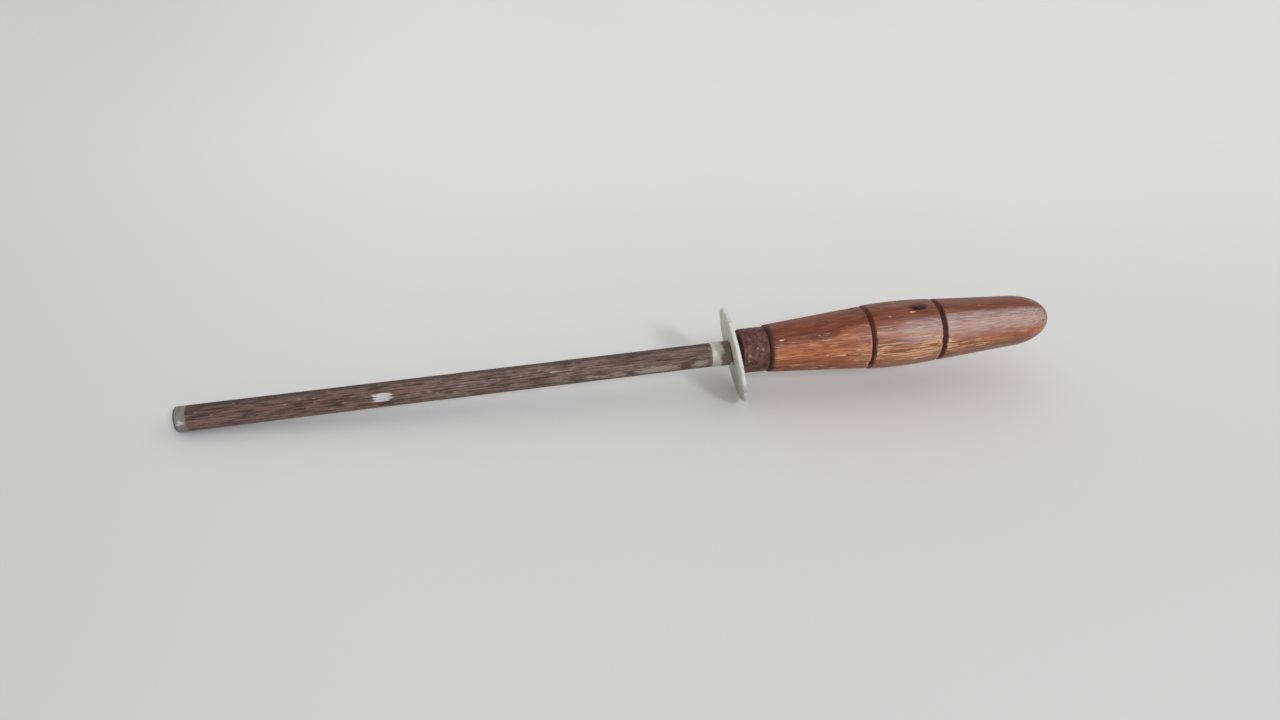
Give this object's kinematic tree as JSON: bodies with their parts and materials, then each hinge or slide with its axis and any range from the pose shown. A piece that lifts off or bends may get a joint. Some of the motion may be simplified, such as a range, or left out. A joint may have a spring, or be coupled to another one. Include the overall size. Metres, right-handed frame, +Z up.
{
  "type": "knife sharpening steel",
  "caption": "Fluted steel honing rod with a round metal guard, a steel ferrule and a turned wooden handle with two grooves, for straightening knife edges.",
  "frame": {"origin": "centre of the bounding box at its base, on the table that the steel lies on", "axes": "+X runs from the tip towards the butt of the handle, +Z is up, +Y is across; the long axis rises 4.18 degrees towards the butt because the steel lies on its tip and on its guard's rim"},
  "size_m": [0.3322, 0.037, 0.0367],
  "materials": {
    "rod_steel": "fluted high-carbon steel under a thin brown rust film, bare and grey at the tip and collar",
    "guard_alloy": "dull cast light alloy, mottled and pitted",
    "ferrule_steel": "thin steel tube, evenly rusted",
    "handle_wood": "turned hardwood, red-brown stain and worn varnish, burned grooves",
    "cement_resin": "dark cutler's resin",
    "pin_steel": "rusted steel wire"
  },
  "bodies": {
    "root": {"steel_rod": "rod_steel", "guard": "guard_alloy", "ferrule": "ferrule_steel", "wood_handle": "handle_wood", "tang_cement": "cement_resin", "tang_pin": "pin_steel"}
  },
  "joints": []
}
